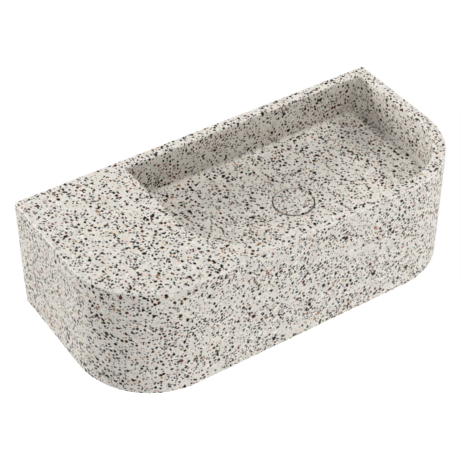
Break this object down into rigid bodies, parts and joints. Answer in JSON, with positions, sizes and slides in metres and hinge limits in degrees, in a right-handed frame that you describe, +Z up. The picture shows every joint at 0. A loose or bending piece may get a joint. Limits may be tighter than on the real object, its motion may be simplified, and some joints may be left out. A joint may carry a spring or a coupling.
{
  "type": "wall basin",
  "caption": "Terrazzo wall basin with a shelf on the left, rounded front corners, a push-open waste with a terrazzo cap, and steel brackets hidden in its hollow underside.",
  "frame": {"origin": "middle of the four wall screw holes, on the face of the wall", "axes": "+X along the wall to the right as seen from the front, +Y into the wall, +Z up"},
  "size_m": [0.65, 0.3, 0.2],
  "materials": {
    "terrazzo": "polished terrazzo, light warm-grey cement with small dark, maroon and ochre chips",
    "terrazzo_fine": "polished terrazzo with finer chips",
    "brass": "turned brass, satin",
    "stainless_steel": "turned stainless steel",
    "chromed_brass": "bright chrome over brass",
    "galvanised_steel": "hot-dip galvanised, dull with faint spangle",
    "zinc_plated_steel": "bright zinc plate",
    "black_rubber": "matt moulded rubber",
    "white_plastic": "moulded acetal, satin",
    "black_plastic": "moulded acetal, satin"
  },
  "bodies": {
    "basin": {"basin_body": "terrazzo", "bracket_inserts": "brass", "wall_bracket_left": "galvanised_steel", "wall_bracket_right": "galvanised_steel", "bracket_pad_left": "black_rubber", "bracket_pad_right": "black_rubber", "bracket_washers": "zinc_plated_steel", "bracket_bolts": "zinc_plated_steel", "waste_body": "chromed_brass", "flange_seal": "black_rubber", "underside_seal": "black_rubber", "slip_washer": "white_plastic", "backnut": "brass", "cartridge_nut": "black_plastic", "cartridge_housing": "black_plastic", "guide_bush": "white_plastic", "cartridge_spring": "stainless_steel"},
    "cap": {"waste_cap": "terrazzo_fine", "cap_carrier": "white_plastic", "plug_seal": "black_rubber", "stem_locknut": "brass", "plunger": "stainless_steel"},
    "cam": {"latch_cam": "black_plastic"}
  },
  "joints": [
    {"name": "cap_lift", "type": "slide", "parent": "basin", "child": "cap", "axis": [0, 0, 1], "range_m": [0, 0.008], "deforming": ["cartridge_spring"]},
    {"name": "cam_turn", "type": "hinge", "parent": "cap", "child": "cam", "pos_m": [0.08, -0.15, 0.024], "axis": [0, 0, 1], "range_deg": [0, 45]}
  ],
  "couplings": [
    {"joint": "cam_turn", "follows": "cap_lift", "rad_per_m": 98.17}
  ]
}
